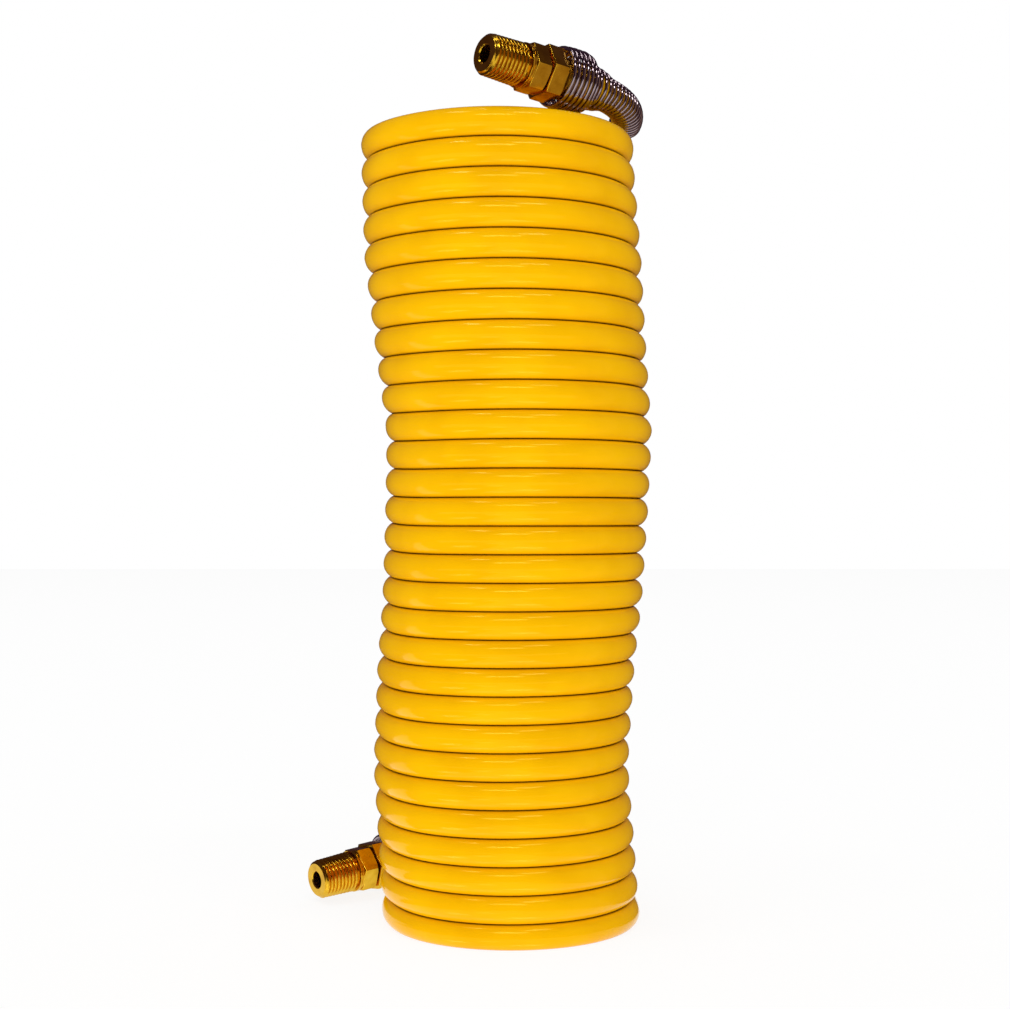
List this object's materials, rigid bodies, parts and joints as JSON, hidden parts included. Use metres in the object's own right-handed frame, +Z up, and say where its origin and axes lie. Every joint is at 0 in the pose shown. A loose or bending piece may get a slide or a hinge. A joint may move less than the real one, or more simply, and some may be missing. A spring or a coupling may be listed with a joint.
{
  "type": "coiled air hose",
  "caption": "Coiled nylon air hose that stands on its lowest turn, with a swivelling male-threaded brass fitting in a steel spring guard at each end.",
  "frame": {"origin": "on the floor, on the upright coil's axis, in the plane of the foot that is cut flat under the lowest turn", "axes": "+Z up along the coil, +X to the right and +Y to the back, away from the front where the outlet's mouth is"},
  "size_m": [0.1182, 0.1138, 0.287],
  "materials": {
    "nylon": "smooth glossy yellow nylon",
    "brass": "machined brass",
    "steel": "bright spring wire",
    "rubber": "black rubber"
  },
  "bodies": {
    "root": {"hose_coil": "nylon", "inlet_tail": "nylon", "inlet_stem": "brass", "inlet_o_ring": "rubber", "inlet_retaining_ring": "steel", "inlet_ferrule": "brass", "inlet_nut": "brass", "inlet_guard": "steel"},
    "inlet_nipple": {"inlet_nipple": "brass"},
    "outlet_end": {"outlet_tail": "nylon", "outlet_stem": "brass", "outlet_o_ring": "rubber", "outlet_retaining_ring": "steel", "outlet_ferrule": "brass", "outlet_nut": "brass", "outlet_guard": "steel"},
    "outlet_nipple": {"outlet_nipple": "brass"}
  },
  "joints": [
    {"name": "inlet_swivel", "type": "hinge", "parent": "root", "child": "inlet_nipple", "pos_m": [-0.04946, 0.0365, 0.00989], "axis": [0.785, 0.6133, 0.0872], "continuous": true},
    {"name": "coil_stretch", "type": "slide", "parent": "root", "child": "outlet_end", "axis": [0, 0, 1], "range_m": [0, 2.5], "stiffness_N_per_m": 3, "springref_m": -0.3, "deforming": ["hose_coil"]},
    {"name": "outlet_swivel", "type": "hinge", "parent": "outlet_end", "child": "outlet_nipple", "pos_m": [0.01046, -0.03195, 0.27733], "axis": [0.8, 0.592, -0.0976], "continuous": true}
  ]
}
